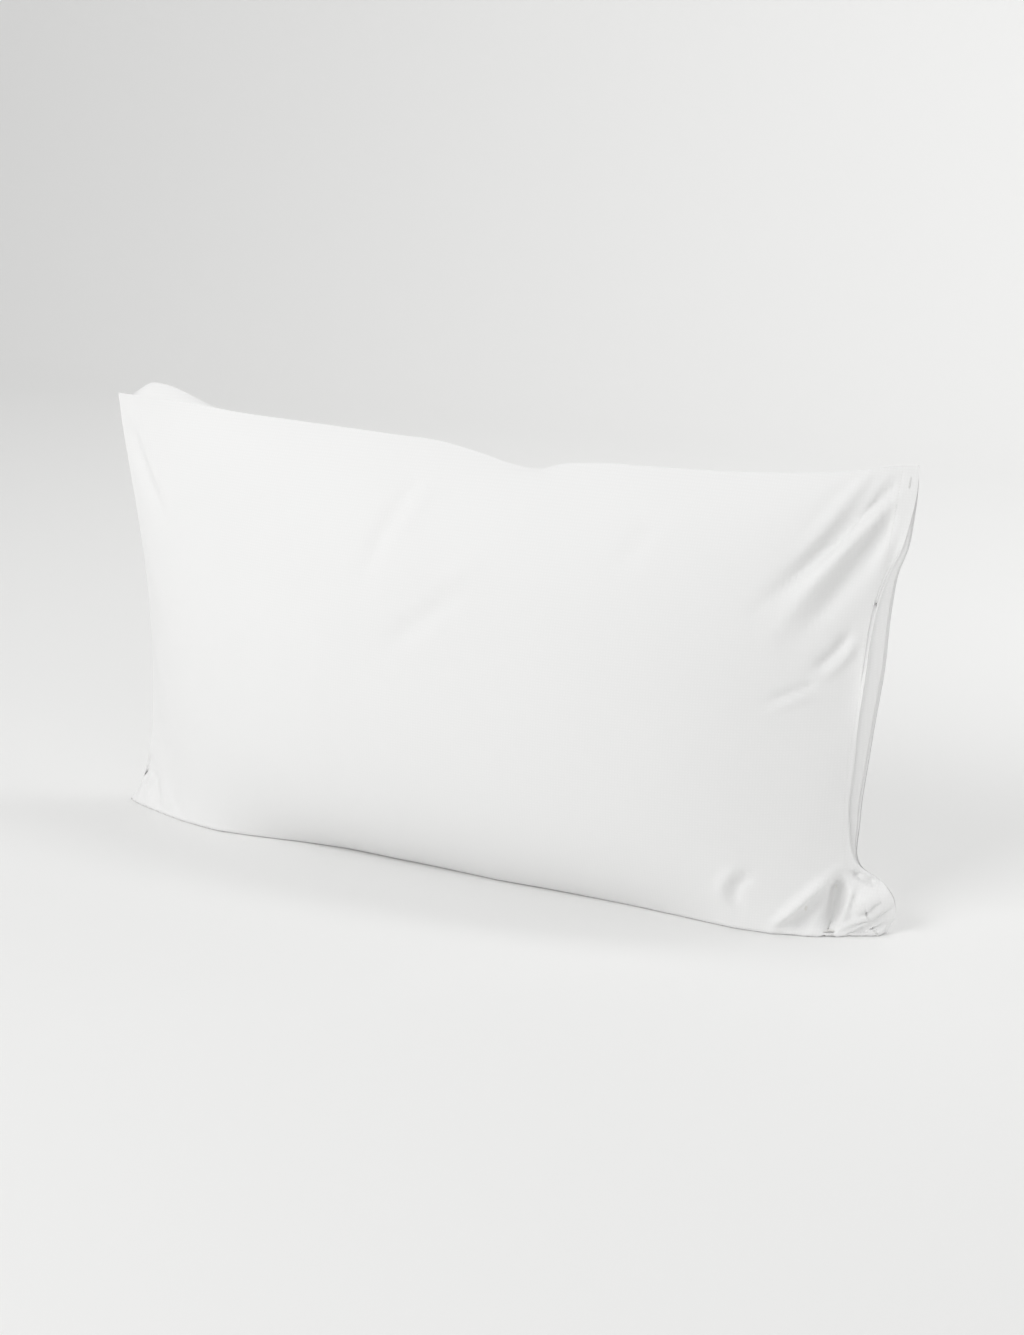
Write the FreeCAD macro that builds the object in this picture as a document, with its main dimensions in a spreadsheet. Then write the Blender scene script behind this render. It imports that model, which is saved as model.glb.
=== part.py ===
import FreeCAD, Part
import math
import os

import Sketcher
from FreeCAD import Placement, Rotation, Vector

# A bed pillow in an envelope-closed case, standing on one long edge and leaning back.
# Frame: +X along the long axis towards the case's mouth, -Y out of the front face, +Z up.
# The origin is on the floor, in the middle of the long edge that the pillow stands on.

DOC = FreeCAD.newDocument("bed_pillow")

# ---------------------------------------------------------------- driving dimensions

DRIVING_MM = {
    "case_length": 884.0,  # a 900 mm case, drawn in by its filling, corner to corner
    "case_height": 470.0,  # a 500 mm case, drawn in the same way
    "lean_deg": 4.5,  # how far the pillow leans back
    "half_depth": 80.0,  # nominal half thickness of the filled pillow
    "base_half_width": 46.0,  # half the width of the face that meets the floor
    "top_sag": 34.0,  # how far the top edge dips between its corners
    "end_inset": 34.0,  # how far the closed end draws in between its corners
    "mouth_inset": 46.0,  # how far the mouth draws in between its corners
    "mouth_half_gape": 17.0,  # half the gap between the mouth's two edges
    "cloth": 0.6,  # drawn thickness of every cloth layer
    "seam_allowance": 3.0,  # width of the doubled cloth along each case seam
    "hem_width": 18.0,  # how far the front mouth hem is turned in
    "flap_length": 150.0,  # how far the tuck flap reaches in from the mouth
    "flap_recess": 2.0,  # how far the flap stands in from the mouth's edge
    "flap_overhang": 9.0,  # how far the flap passes the middle plane at the mouth
    "thread": 0.5,  # drawn thickness of a line of stitches
    "stitch_width": 1.0,  # drawn width of a line of stitches
    "stitch_inset": 4.0,  # from the case's outline to its seam stitches
    "tack_length": 10.0,
    "tack_width": 2.0,
    "tack_thickness": 2.4,
    "tack_drop": 8.0,  # from the case's corner down to the tack
    "piping_inset": 10.0,  # from the case's outline to the insert's corded edge
    "piping": 2.4,  # drawn thickness of the corded edge
    "piping_core": 1.4,  # drawn thickness of the cord inside it
    "ticking_allowance": 1.3,  # from the corded edge in to the insert's stitches
    "end_room": 30.0,  # spare case length beyond the insert at the closed end
    "mouth_room": 22.0,  # from the mouth's edge to the insert's corded edge
    "closing_length": 180.0,  # the hand-closed stretch of the insert's seam
    "label_length": 18.0,
    "label_height": 45.0,
    "label_thickness": 0.3,
    "case_label_rise": 141.0,  # from the floor up to the case's label
    "insert_label_rise": 197.0,
    "running_gap": 0.4,  # clearance between the case and the insert
    "layer_gap": 0.1,  # clearance between layers of one body
}


def make_sheet():
    sheet = DOC.addObject("Spreadsheet::Sheet", "Dimensions")
    for row, (alias, value) in enumerate(DRIVING_MM.items(), start=1):
        sheet.set(f"A{row}", alias)
        sheet.set(f"B{row}", str(value))
        sheet.setAlias(f"B{row}", alias)
    DOC.recompute()
    return sheet


SHEET = make_sheet()


def size(alias):
    return float(SHEET.get(alias))


LENGTH, HEIGHT = size("case_length"), size("case_height")
LEAN = size("lean_deg")
CLOTH, GAP = size("cloth"), size("layer_gap")
HEM_DEPTH = CLOTH + GAP
HEM_RIM = size("stitch_inset") + size("stitch_width") + GAP
HEM_BASE = CLOTH + size("stitch_width") + 2 * GAP
LAYER = CLOTH + GAP  # from one layer of cloth to the next
INSERT_DEPTH = HEM_DEPTH + 2 * LAYER + GAP + size("running_gap")
INSERT_BASE = HEM_BASE + 2 * LAYER + GAP + size("running_gap")
BEYOND = 30.0  # how far a cutting solid reaches past the pillow
REACH = 200.0  # half the width of a cutting solid, more than the pillow is thick
NODES = []

# ---------------------------------------------------------------- the pillow's form

# Columns of control points run along the pillow, and rows run up it from the base's edge.
COLUMNS = (
    # place along half the length, fullness, share of the base's width, share of the sag
    (-1.00, 0.00, 0.00, 0.00),
    (-1.00, 0.13, 0.10, 0.00),
    (-0.80, 0.70, 0.62, 0.75),
    (-0.42, 1.02, 1.00, 1.05),
    (0.00, 1.05, 1.05, 1.15),
    (0.42, 1.02, 1.00, 1.05),
    (0.80, 0.70, 0.62, 0.75),
    (0.98, 0.26, 0.14, 0.10),
    (1.00, 0.00, 0.00, 0.00),
)
ROWS = (
    # height, fullness, share of an end's inset, share of the mouth's gape
    (0.00, 0.00, 0.00, 0.00),
    (0.02, 0.80, 0.08, 0.30),
    (0.13, 1.02, 0.50, 0.90),
    (0.36, 1.14, 1.15, 1.10),
    (0.62, 1.04, 1.20, 1.10),
    (0.84, 0.62, 0.60, 0.72),
    (0.96, 0.22, 0.06, 0.20),
    (1.00, 0.00, 0.00, 0.00),
)
DEGREE = 3
MIDDLE_INSET = 1.14  # an end's inset half-way up, as a share of the inset's size
END_COLUMNS = 0.9  # columns further out than this move in with a form's end
END_SAG_SLOPE = 0.75 / (0.2 * LENGTH / 2)  # the top edge's fall per millimetre from an end


class Form:
    """A closed form nested in the case, by its distances in from the case's outside."""

    def __init__(self, depth, rim, base, closed_end, mouth):
        self.depth, self.rim, self.base = depth, rim, base
        self.closed_end, self.mouth = closed_end, mouth

    def end_shift(self, place):
        """How far this form's end columns stand in from the case's own ends."""
        if abs(place) < END_COLUMNS:
            return 0.0
        return self.closed_end if place < 0 else self.mouth

    def along(self, place, inset_share):
        nominal = place * LENGTH / 2
        if abs(place) < END_COLUMNS:
            return nominal
        inset = size("end_inset" if place < 0 else "mouth_inset") * inset_share
        return nominal - math.copysign(self.end_shift(place) + inset, place)

    def half_width(self, column, row):
        if column == len(COLUMNS) - 1:
            return size("mouth_half_gape") * ROWS[row][3]
        if row == 0:
            return size("base_half_width") * COLUMNS[column][2]
        return size("half_depth") * COLUMNS[column][1] * ROWS[row][1]

    def control_point(self, column, row, side):
        place, _, _, sag_share = COLUMNS[column]
        height, _, inset_share, _ = ROWS[row]
        sag_share += END_SAG_SLOPE * self.end_shift(place)
        top = HEIGHT - self.rim - size("top_sag") * sag_share
        z = self.base + height * (top - self.base)
        y = max(self.half_width(column, row) - self.depth, 0.0)
        lean = z * math.tan(math.radians(LEAN))
        return Vector(self.along(place, inset_share), side * y + lean, z)

    def surface(self, side):
        poles = [
            [self.control_point(c, r, side) for r in range(len(ROWS))]
            for c in range(len(COLUMNS))
        ]
        u_knots, u_mults = knots(len(COLUMNS))
        v_knots, v_mults = knots(len(ROWS))
        surface = Part.BSplineSurface()
        surface.buildFromPolesMultsKnots(
            poles, u_mults, v_mults, u_knots, v_knots, False, False, DEGREE, DEGREE
        )
        return surface

    def solid(self, open_mouth=False):
        """The solid between the front, the back, the flat base and the mouth end."""
        front, back = self.surface(-1), self.surface(1)
        rim = [front.vIso(0).toShape(), back.vIso(0).toShape()]
        base = Part.Face(Part.Wire(Part.__sortEdges__(rim)))
        edges = [front.uIso(1).toShape(), back.uIso(1).toShape()]
        mouth = Part.makeRuledSurface(*edges)
        faces = [front.toShape(), back.toShape(), base]
        if open_mouth:
            past = Vector(BEYOND, 0, 0)
            faces += [edge.extrude(past) for edge in edges] + [mouth.translated(past)]
        else:
            faces.append(mouth)
        sewn = Part.makeCompound(faces)
        sewn.sewShape()
        solid = Part.Solid(sewn.Shells[0])
        if solid.Volume < 0:
            solid.reverse()
        return solid


def knots(poles):
    spans = poles - DEGREE
    values = [i / spans for i in range(spans + 1)]
    return values, [DEGREE + 1] + [1] * (spans - 1) + [DEGREE + 1]


# ---------------------------------------------------------------- document helpers


def feature(name, shape):
    made = DOC.addObject("Part::Feature", name)
    made.Shape = shape
    return made


def cut(name, base, tool):
    made = DOC.addObject("Part::Cut", name)
    made.Base, made.Tool = base, tool
    return made


def common(name, first, second):
    made = DOC.addObject("Part::Common", name)
    made.Base, made.Tool = first, second
    return made


def box(name, length, width, height, corner, leaning=False):
    """A box whose sizes are spreadsheet formulas; a leaning one follows the pillow."""
    made = DOC.addObject("Part::Box", name)
    made.setExpression("Length", length)
    made.setExpression("Width", width)
    made.setExpression("Height", height)
    tilt = Rotation(Vector(1, 0, 0), -LEAN if leaning else 0)
    made.Placement = Placement(Vector(), tilt).multiply(Placement(corner, Rotation()))
    return made


def node(made, label):
    made.Label = label
    NODES.append(made)
    return made


def form(name, *distances):
    return feature(name, Form(*distances).solid())


def open_form(name, *distances):
    """A form that runs on past the mouth, to cut a layer's mouth open."""
    return feature(name, Form(*distances).solid(open_mouth=True))


# ---------------------------------------------------------------- shared cutting solids

SPAN = "Dimensions.case_length * 1.2"
RISE = "Dimensions.case_height * 1.4"
LOW_CORNER = Vector(-0.6 * LENGTH, 0, -BEYOND)
FRONT_HALF = box(
    "front_half", SPAN, f"{REACH}", RISE, LOW_CORNER - Vector(0, REACH, 0), True
)
BACK_HALF = box("back_half", SPAN, f"{REACH}", RISE, LOW_CORNER, True)


def middle_slab(name, thickness):
    """A thin leaning slab about the middle plane, where every seam runs."""
    corner = LOW_CORNER - Vector(0, size(thickness) / 2, 0)
    return box(name, SPAN, f"Dimensions.{thickness}", RISE, corner, True)


def curve(points):
    made = Part.BSplineCurve()
    values, mults = knots(len(points))
    made.buildFromPolesMultsKnots(points, mults, values, False, DEGREE)
    return made.toShape()


def inland(name, inset):
    """Everything on the closed end's side of the mouth's edge moved in by the inset."""
    line = Form(0, 0, 0, 0, inset)
    points = [line.control_point(len(COLUMNS) - 1, r, 0) for r in range(len(ROWS))]
    flat = [Vector(p.x, -REACH, p.z) for p in points]
    low = Vector(flat[0].x, -REACH, -BEYOND)
    high = Vector(flat[-1].x, -REACH, HEIGHT + BEYOND)
    far = Vector(-LENGTH, 0, 0)
    outline = [
        curve(flat),
        Part.makeLine(flat[-1], high),
        Part.makeLine(high, high + far),
        Part.makeLine(high + far, low + far),
        Part.makeLine(low + far, low),
        Part.makeLine(low, flat[0]),
    ]
    face = Part.Face(Part.Wire(Part.__sortEdges__(outline)))
    return feature(name, face.extrude(Vector(0, 2 * REACH, 0)))


def middle_face(*insets):
    """The part of the middle plane inside the pillow's outline moved in by the insets."""
    line = Form(0, *insets)
    columns, rows = range(len(COLUMNS)), range(len(ROWS))
    outline = [
        curve([line.control_point(0, r, 0) for r in rows]),
        curve([line.control_point(c, rows[-1], 0) for c in columns]),
        curve([line.control_point(columns[-1], r, 0) for r in rows]),
        Part.makeLine(line.control_point(0, 0, 0), line.control_point(columns[-1], 0, 0)),
    ]
    return Part.Face(Part.Wire(Part.__sortEdges__(outline)))


def flat_ring(name, thickness, outer, inner):
    """A flat strip between two outlines, half of it on each side of the middle plane."""
    face = middle_face(*outer).cut(middle_face(*inner)).Faces[0]
    lean = math.radians(LEAN)
    across = Vector(0, math.cos(lean), -math.sin(lean)) * size(thickness)
    return feature(name, face.extrude(across).translated(-across / 2))


def ring(name, slab, outer, inner):
    """A strip along the seam, between two solids and inside a slab."""
    return common(f"{name}_ring", cut(f"{name}_band", outer, inner), slab)


# ---------------------------------------------------------------- the case


def make_tacks():
    """A short block of dense stitching across the seam at each end of the mouth."""
    drop, long = size("tack_drop"), size("tack_length")
    places = {"top": HEIGHT - drop - long, "bottom": drop}
    tacks, notches = [], []
    for place, height in places.items():
        middle = -size("tack_thickness") / 2
        x = LENGTH / 2 - size("tack_drop") - size("tack_width")
        corner = Vector(x, middle, height)
        tack = box(
            f"{place}_tack", "Dimensions.tack_width", "Dimensions.tack_thickness",
            "Dimensions.tack_length", corner, True,
        )
        wide = "+ 2 * Dimensions.layer_gap"
        notch = box(
            f"{place}_notch", f"Dimensions.tack_width {wide}", f"Dimensions.tack_thickness {wide}",
            f"Dimensions.tack_length {wide}", corner - Vector(GAP, GAP, GAP), True,
        )
        tacks.append(tack)
        notches.append(notch)
    both = DOC.addObject("Part::Compound", "tacks")
    both.Links = tacks
    gaps = DOC.addObject("Part::Compound", "notches")
    gaps.Links = notches
    return both, gaps


def make_case_panels(notches):
    allowance = size("seam_allowance")
    outside = form("case_outside", 0, 0, 0, 0, 0)
    cavity = open_form("case_cavity", CLOTH, allowance, CLOTH, allowance, 0)
    shell = cut("case_shell", outside, cavity)
    sewn = cut("case_shell_notched", shell, notches)
    node(common("front_panel", sewn, FRONT_HALF), "case_front_panel")
    node(common("back_panel", sewn, BACK_HALF), "case_back_panel")


def make_hem(notches):
    """The front panel's mouth edge, turned in and stitched down."""
    width = size("stitch_width")
    hem_shell = cut(
        "hem_shell",
        form("hem_outer", HEM_DEPTH, HEM_RIM, HEM_BASE, HEM_RIM, 0),
        open_form("hem_inner", *[d + CLOTH for d in (HEM_DEPTH, HEM_RIM, HEM_BASE, HEM_RIM)], 0),
    )
    front = common("hem_front", hem_shell, FRONT_HALF)
    clear = cut("hem_notched", front, notches)
    hem_end = size("hem_width")
    node(cut("hem", clear, inland("past_hem", hem_end)), "case_mouth_hem")
    strip = common("hem_strip", clear, inland("hem_line", hem_end + GAP / 2))
    line = cut("hem_stitches", strip, inland("past_hem_line", hem_end + width))
    node(line, "mouth_hem_thread")


def make_flap(notches):
    """From the back panel's mouth edge, across the mouth and in behind the front panel."""
    depth, rim, base = [d + LAYER + GAP for d in (HEM_DEPTH, HEM_RIM, HEM_BASE)]
    mouth, width = size("flap_recess"), size("stitch_width")
    shell = cut(
        "flap_shell",
        form("flap_outer", depth, rim, base, rim, mouth),
        form("flap_inner", *[d + CLOTH for d in (depth, rim, base, rim, mouth)]),
    )
    overhang = "Dimensions.flap_overhang"
    corner = LOW_CORNER - Vector(0, REACH, 0)
    side = box("flap_side", SPAN, f"{REACH} + {overhang}", RISE, corner, True)
    front = cut("flap_notched", common("flap_front", shell, side), notches)
    far = size("flap_length")
    node(cut("flap", front, inland("past_flap", far)), "tuck_flap")
    strip = common("flap_strip", front, inland("flap_line", far + GAP / 2))
    line = cut("flap_stitches", strip, inland("past_flap_line", far + width))
    node(line, "flap_hem_thread")


def make_case_seams():
    inset, width = size("stitch_inset"), size("stitch_width")
    low = CLOTH + GAP
    stitches = ring(
        "case_seam", middle_slab("case_seam_slab", "thread"),
        open_form("case_seam_outer", 0, inset, low, inset, 0),
        open_form("case_seam_inner", 0, *[d + width for d in (inset, low, inset)], 0),
    )
    tack_end = size("tack_drop") + size("tack_width") + 2 * width
    trimmed = common("case_seam_trimmed", stitches, inland("before_tacks", tack_end))
    corner, top_corner = 12.0, 22.0
    end_part = box(
        "end_part", f"Dimensions.end_inset + {corner}", f"{2 * REACH}",
        f"Dimensions.case_height - {corner + top_corner}", Vector(-LENGTH / 2, -REACH, corner),
    )
    node(common("end_seam", trimmed, end_part), "case_end_seam_thread")
    sides = cut("side_seams", trimmed, end_part)
    low_part = box("low_part", SPAN, f"{2 * REACH}", f"{corner + BEYOND}",
                   LOW_CORNER - Vector(0, REACH, 0))
    node(common("bottom_seam", sides, low_part), "case_bottom_seam_thread")
    node(cut("top_seam", sides, low_part), "case_top_seam_thread")


def make_label(label, corner, turn):
    """A blank woven label: a thin pad, with its length, its height and its thickness."""
    body = DOC.addObject("PartDesign::Body", label)
    plane = next(f for f in body.Origin.OriginFeatures if f.Role == "XZ_Plane")
    sketch = body.newObject("Sketcher::SketchObject", f"{label}_outline")
    sketch.AttachmentSupport = [(plane, "")]
    sketch.MapMode = "FlatFace"
    long, high = size("label_length"), size("label_height")
    corners = [Vector(0, 0), Vector(long, 0), Vector(long, high), Vector(0, high)]
    for start, end in zip(corners, corners[1:] + corners[:1]):
        sketch.addGeometry(Part.LineSegment(start, end))
    constrain_rectangle(sketch)
    pad = body.newObject("PartDesign::Pad", f"{label}_pad")
    pad.Profile = sketch
    pad.setExpression("Length", "Dimensions.label_thickness")
    body.Placement = Placement(corner, turn)
    return node(body, label)


def constrain_rectangle(sketch):
    for line in range(4):
        sketch.addConstraint(Sketcher.Constraint("Coincident", line, 2, (line + 1) % 4, 1))
    for line in (0, 2):
        sketch.addConstraint(Sketcher.Constraint("Horizontal", line))
        sketch.addConstraint(Sketcher.Constraint("Vertical", line + 1))
    sketch.addConstraint(Sketcher.Constraint("Coincident", 0, 1, -1, 1))
    long = sketch.addConstraint(Sketcher.Constraint("DistanceX", 0, 1, 0, 2, size("label_length")))
    high = sketch.addConstraint(Sketcher.Constraint("DistanceY", 1, 1, 1, 2, size("label_height")))
    sketch.setExpression(f"Constraints[{long}]", "Dimensions.label_length")
    sketch.setExpression(f"Constraints[{high}]", "Dimensions.label_height")


def make_case_label():
    """Sewn into the closed end's seam, inside the case."""
    height = size("case_label_rise")
    seam = -LENGTH / 2 + MIDDLE_INSET * size("end_inset") + size("stitch_inset")
    y = height * math.tan(math.radians(LEAN)) + 2 * size("thread")
    corner = Vector(seam + size("stitch_width"), y, height)
    make_label("case_care_label", corner, Rotation(Vector(1, 0, 0), -LEAN))


# ---------------------------------------------------------------- the insert


def make_piping():
    """The insert's corded edge: a cord inside a folded strip, all the way round."""
    core, thick = size("piping_core"), size("piping")
    rim, low = size("piping_inset"), INSERT_BASE
    closed, mouth = size("end_room"), size("mouth_room")
    wall = (thick - core) / 2

    def strip(name, slab, start, end):
        outer = form(f"{name}_outer", 0, *[d + start for d in (rim, low, closed, mouth)])
        inner = form(f"{name}_inner", 0, *[d + end for d in (rim, low, closed, mouth)])
        return ring(name, slab, outer, inner)

    whole = strip("piping", middle_slab("piping_slab", "piping"), 0, thick)
    bore = strip("bore", middle_slab("bore_slab", "piping_core"), wall, wall + core)
    node(cut("piping_tube", whole, bore), "piping_strip")
    node(bore, "piping_cord")
    return rim + thick + GAP, low + thick + GAP, closed + thick + GAP, mouth + thick + GAP


def make_insert(rim, low, closed, mouth):
    """The ticking's two panels, its stitches and the fill, inside the corded edge."""
    width = size("stitch_width")
    start = [d + size("ticking_allowance") for d in (rim, low, closed, mouth)]
    stitches = flat_ring("insert_seam", "thread", start, [d + width for d in start])
    closing = box(
        "closing_part", "Dimensions.end_inset * 2 + Dimensions.end_room", f"{2 * REACH}",
        "Dimensions.closing_length",
        Vector(-LENGTH / 2, -REACH, HEIGHT / 2 - size("closing_length") / 2),
    )
    node(cut("insert_machine_seam", stitches, closing), "ticking_seam_thread")
    node(common("insert_hand_seam", stitches, closing), "ticking_closing_thread")

    step = width + GAP
    ends = [d + step for d in start]
    outside = form("ticking_outside", INSERT_DEPTH, *ends)
    inside = form("ticking_inside", INSERT_DEPTH + CLOTH, *[d + CLOTH for d in ends])
    shell = cut("ticking_shell", outside, inside)
    node(common("ticking_front", shell, FRONT_HALF), "ticking_front_panel")
    node(common("ticking_back", shell, BACK_HALF), "ticking_back_panel")
    room = CLOTH + 2 * GAP
    node(form("down_fill", INSERT_DEPTH + room, *[d + room for d in ends]), "fill")


def make_insert_label():
    """Sewn into the insert's seam at the mouth end, flat against that end."""
    height = size("insert_label_rise")
    end = LENGTH / 2 - MIDDLE_INSET * size("mouth_inset") - size("mouth_room")
    y = height * math.tan(math.radians(LEAN)) - size("label_length") / 2
    corner = Vector(end + size("stitch_width"), y, height)
    make_label("insert_care_label", corner, Rotation(Vector(0, 0, 1), 90))


# ---------------------------------------------------------------- build, check, write


def write_nodes():
    os.makedirs("parts", exist_ok=True)
    for made in NODES:
        shape = made.Shape
        if shape.isNull() or not shape.isValid() or not shape.Solids:
            raise RuntimeError(f"{made.Label} has no valid solid")
        print(made.Label, len(shape.Solids), round(shape.Volume, 1), shape.BoundBox)
        shape.exportStep(f"parts/{made.Label}.step")


def main():
    tacks, notches = make_tacks()
    make_case_panels(notches)
    make_hem(notches)
    make_flap(notches)
    make_case_seams()
    node(tacks, "mouth_bar_tacks")
    make_case_label()
    make_insert(*make_piping())
    make_insert_label()
    DOC.recompute()
    failed = [o.Label for o in DOC.Objects if {"Invalid", "Error"} & set(o.State)]
    if failed:
        raise RuntimeError(f"failed objects: {failed}")
    write_nodes()


main()
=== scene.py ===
import math

import bmesh
import bpy
import numpy as np
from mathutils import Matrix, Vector


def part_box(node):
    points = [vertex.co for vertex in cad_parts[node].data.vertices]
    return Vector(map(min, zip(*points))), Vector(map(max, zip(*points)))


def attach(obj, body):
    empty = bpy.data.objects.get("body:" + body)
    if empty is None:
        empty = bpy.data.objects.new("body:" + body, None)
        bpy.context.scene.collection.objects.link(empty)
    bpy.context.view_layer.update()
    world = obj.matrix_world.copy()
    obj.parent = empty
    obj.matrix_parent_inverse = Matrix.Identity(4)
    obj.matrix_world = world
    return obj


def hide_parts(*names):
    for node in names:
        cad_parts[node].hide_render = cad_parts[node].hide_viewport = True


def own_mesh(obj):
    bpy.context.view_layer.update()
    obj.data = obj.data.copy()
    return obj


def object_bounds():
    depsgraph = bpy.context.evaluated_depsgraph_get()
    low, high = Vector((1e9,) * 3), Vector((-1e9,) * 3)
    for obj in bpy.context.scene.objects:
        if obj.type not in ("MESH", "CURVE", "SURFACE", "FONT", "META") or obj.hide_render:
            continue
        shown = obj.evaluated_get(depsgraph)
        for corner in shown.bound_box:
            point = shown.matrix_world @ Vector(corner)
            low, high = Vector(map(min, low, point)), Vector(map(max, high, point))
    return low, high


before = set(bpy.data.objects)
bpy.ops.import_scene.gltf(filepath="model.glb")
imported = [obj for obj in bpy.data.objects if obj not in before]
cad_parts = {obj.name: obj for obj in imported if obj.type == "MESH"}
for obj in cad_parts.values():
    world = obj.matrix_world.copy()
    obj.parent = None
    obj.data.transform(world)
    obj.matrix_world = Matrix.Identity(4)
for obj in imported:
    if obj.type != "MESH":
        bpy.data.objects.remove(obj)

# A white bed pillow in an envelope-closed case, standing on one long edge.
# Metres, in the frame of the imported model: +X to the case's mouth, -Y to the front.

CAD_LOW, CAD_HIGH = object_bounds()
LENGTH = CAD_HIGH.x - CAD_LOW.x
HEIGHT = CAD_HIGH.z - CAD_LOW.z
MM = 0.001
LEAN = math.tan(math.radians(4.5))

# Flat size of each cut panel of the case, before it is sewn and filled.
CASE_FLAT = (0.90, 0.50)


# ---------------------------------------------------------------- camera and light

CAMERA_AZIMUTH, CAMERA_ELEVATION = 23.53, 18.97  # degrees
CAMERA_DISTANCE = 2.251
CAMERA_AIM = (0.035, 0.0, 0.223)
CAMERA_LENS, CAMERA_SENSOR = 59.3, 36  # millimetres

SKY_STRENGTH = 0.50
LIGHTS = (
    # name, place, aim, size, watts
    ("key", (-1.5, -2.4, 2.4), (0, 0, 0.25), (2.2, 1.6), 50),
    ("fill", (1.8, -2.2, 2.4), (0, 0, 0.25), (2.2, 1.6), 8),
    ("low", (0.0, -3.2, 0.7), (0, 0, 0.15), (3.0, 0.8), 5),
    ("side", (2.4, 0.9, 0.9), (0.40, 0.0, 0.25), (1.2, 1.2), 11),
    ("wall", (1.0, 0.9, 3.0), (0.6, 2.9, 1.3), (2.2, 1.0), 31),
)


def make_camera():
    azimuth, elevation = math.radians(CAMERA_AZIMUTH), math.radians(CAMERA_ELEVATION)
    back = Vector((
        math.sin(azimuth) * math.cos(elevation),
        -math.cos(azimuth) * math.cos(elevation),
        math.sin(elevation),
    ))
    data = bpy.data.cameras.new("camera")
    data.lens = CAMERA_LENS
    data.sensor_width = CAMERA_SENSOR
    camera = bpy.data.objects.new("camera", data)
    camera.location = Vector(CAMERA_AIM) + back * CAMERA_DISTANCE
    camera.rotation_euler = (-back).to_track_quat("-Z", "Y").to_euler()
    bpy.context.collection.objects.link(camera)
    bpy.context.scene.camera = camera


def area_light(name, place, aim, size, watts):
    data = bpy.data.lights.new(name, "AREA")
    data.shape = "RECTANGLE"
    data.size, data.size_y = size
    data.energy = watts
    light = bpy.data.objects.new(name, data)
    light.location = place
    light.rotation_euler = (Vector(aim) - Vector(place)).to_track_quat("-Z", "Y").to_euler()
    bpy.context.collection.objects.link(light)


def make_light():
    world = bpy.data.worlds.new("studio")
    bpy.context.scene.world = world
    world.use_nodes = True
    sky = world.node_tree.nodes["Background"]
    sky.inputs["Color"].default_value = (1.0, 1.0, 0.995, 1)
    sky.inputs["Strength"].default_value = SKY_STRENGTH
    for light in LIGHTS:
        area_light(*light)
    bpy.context.scene.view_settings.view_transform = "Standard"


def make_floor():
    """A pale studio sweep: a flat floor that curves up into the backdrop."""
    ahead, reach, depth, rise, radius, steps = -5.0, 6.0, 1.9, 5.0, 1.0, 24
    line = [(ahead, 0.0), (depth, 0.0)]
    for i in range(1, steps + 1):
        turn = math.pi / 2 * i / steps
        line.append((depth + radius * math.sin(turn), radius - radius * math.cos(turn)))
    line.append((depth + radius, rise))
    verts = [(x, y, z) for y, z in line for x in (-reach, reach)]
    faces = [(2 * i, 2 * i + 1, 2 * i + 3, 2 * i + 2) for i in range(len(line) - 1)]
    mesh = bpy.data.meshes.new("sweep")
    mesh.from_pydata(verts, [], faces)
    mesh.shade_smooth()
    sweep = bpy.data.objects.new("sweep", mesh)
    bpy.context.collection.objects.link(sweep)
    material = bpy.data.materials.new("sweep")
    material.use_nodes = True
    surface = material.node_tree.nodes["Principled BSDF"]
    surface.inputs["Base Color"].default_value = (0.86, 0.86, 0.855, 1)
    surface.inputs["Roughness"].default_value = 0.9
    surface.inputs["Specular IOR Level"].default_value = 0.2
    mesh.materials.append(material)


# ---------------------------------------------------------------- curves and grids


def smoothstep(low, high, x):
    t = np.clip((x - low) / (high - low), 0, 1)
    return t * t * (3 - 2 * t)


def bump(value, centre, width):
    return np.exp(-(((value - centre) / width) ** 2))


def unit(vectors):
    return vectors / (np.linalg.norm(vectors, axis=-1, keepdims=True) + 1e-12)


def normals(p, side):
    """Outward normals of a panel, as long as its cells are large."""
    du, dv = np.gradient(p, axis=0), np.gradient(p, axis=1)
    return np.cross(dv, du) * side


def along_curve(points, shares):
    """A smooth curve through the points, read at shares of its length."""
    points = np.array(points, float)
    span = np.concatenate([[0], np.cumsum(np.linalg.norm(np.diff(points, axis=0), axis=1))])
    span /= span[-1]
    slopes = np.gradient(points, span, axis=0)
    place = np.clip(np.searchsorted(span, shares, side="right") - 1, 0, len(span) - 2)
    gap = (span[place + 1] - span[place])[:, None]
    t = ((shares - span[place]) / gap[:, 0])[:, None]
    p0, p1, m0, m1 = points[place], points[place + 1], slopes[place] * gap, slopes[place + 1] * gap
    return (
        p0 * (2 * t**3 - 3 * t**2 + 1) + m0 * (t**3 - 2 * t**2 + t)
        + p1 * (3 * t**2 - 2 * t**3) + m1 * (t**3 - t**2)
    )


def double(p):
    """The same surface on a grid with twice as many cells each way."""
    for _ in range(2):
        q = np.empty((p.shape[0] * 2 - 1,) + p.shape[1:])
        q[::2] = p
        q[1::2] = 0.5 * (p[1:] + p[:-1])
        inner = 0.5625 * (p[1:-2] + p[2:-1]) - 0.0625 * (p[:-3] + p[3:])
        q[3:-3:2] = inner
        p = q.swapaxes(0, 1)
    return p


def sample(p, u, v):
    """The grid's points at shares u along and v up."""
    i, j = np.asarray(u) * (p.shape[0] - 1), np.asarray(v) * (p.shape[1] - 1)
    i0 = np.clip(np.floor(i).astype(int), 0, p.shape[0] - 2)
    j0 = np.clip(np.floor(j).astype(int), 0, p.shape[1] - 2)
    s, t = (i - i0)[..., None], (j - j0)[..., None]
    low = p[i0, j0] * (1 - s) + p[i0 + 1, j0] * s
    high = p[i0, j0 + 1] * (1 - s) + p[i0 + 1, j0 + 1] * s
    return low * (1 - t) + high * t


# ---------------------------------------------------------------- the case's outline

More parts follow.
